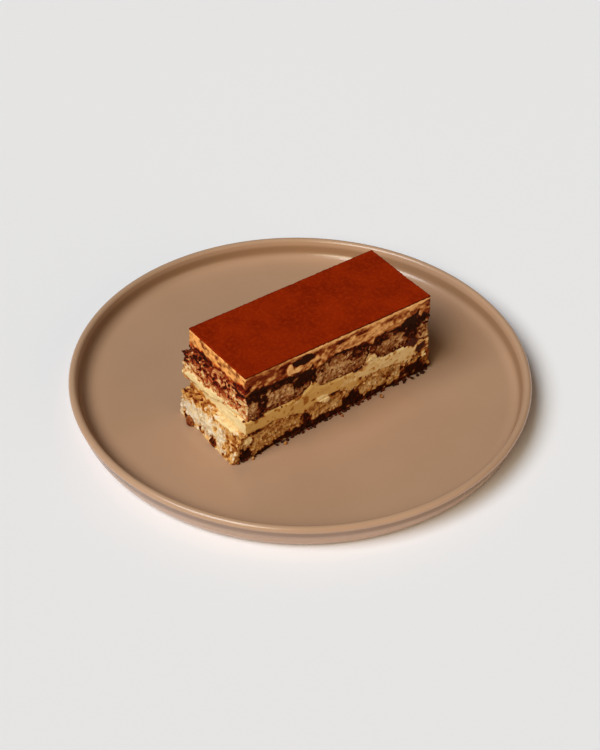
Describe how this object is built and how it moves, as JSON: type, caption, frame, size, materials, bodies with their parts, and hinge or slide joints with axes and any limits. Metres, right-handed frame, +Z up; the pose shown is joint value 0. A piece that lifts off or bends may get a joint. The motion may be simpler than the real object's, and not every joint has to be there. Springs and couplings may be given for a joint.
{
  "type": "tiramisu slice on a plate",
  "caption": "Rectangular slice of tiramisu, with soaked sponge fingers, mascarpone cream and a cocoa top, served on a round stoneware plate with an upright rim.",
  "frame": {"origin": "centre of the plate's foot, on the surface that the plate stands on", "axes": "+Z up, +X along the slice's long side towards the end that was farther away in the picture, +Y across the slice towards its back"},
  "size_m": [0.22, 0.22, 0.0543],
  "materials": {
    "glaze": "satin taupe glaze",
    "sponge": "open sponge crumb, coffee-soaked at its edges",
    "soaked_sponge": "open sponge crumb, dark where the coffee soaked in",
    "cream": "smooth pale yellow cream with a soft sheen",
    "stained_cream": "cream streaked with coffee by the knife",
    "cocoa": "dry matt cocoa powder"
  },
  "bodies": {
    "root": {"plate": "glaze", "lower_finger_1": "sponge", "lower_finger_2": "sponge", "lower_finger_3": "sponge", "lower_finger_4": "sponge", "middle_cream": "cream", "upper_finger_1": "soaked_sponge", "upper_finger_2": "soaked_sponge", "upper_finger_3": "soaked_sponge", "upper_finger_4": "soaked_sponge", "top_cream": "stained_cream", "cocoa_dusting": "cocoa"}
  },
  "joints": []
}
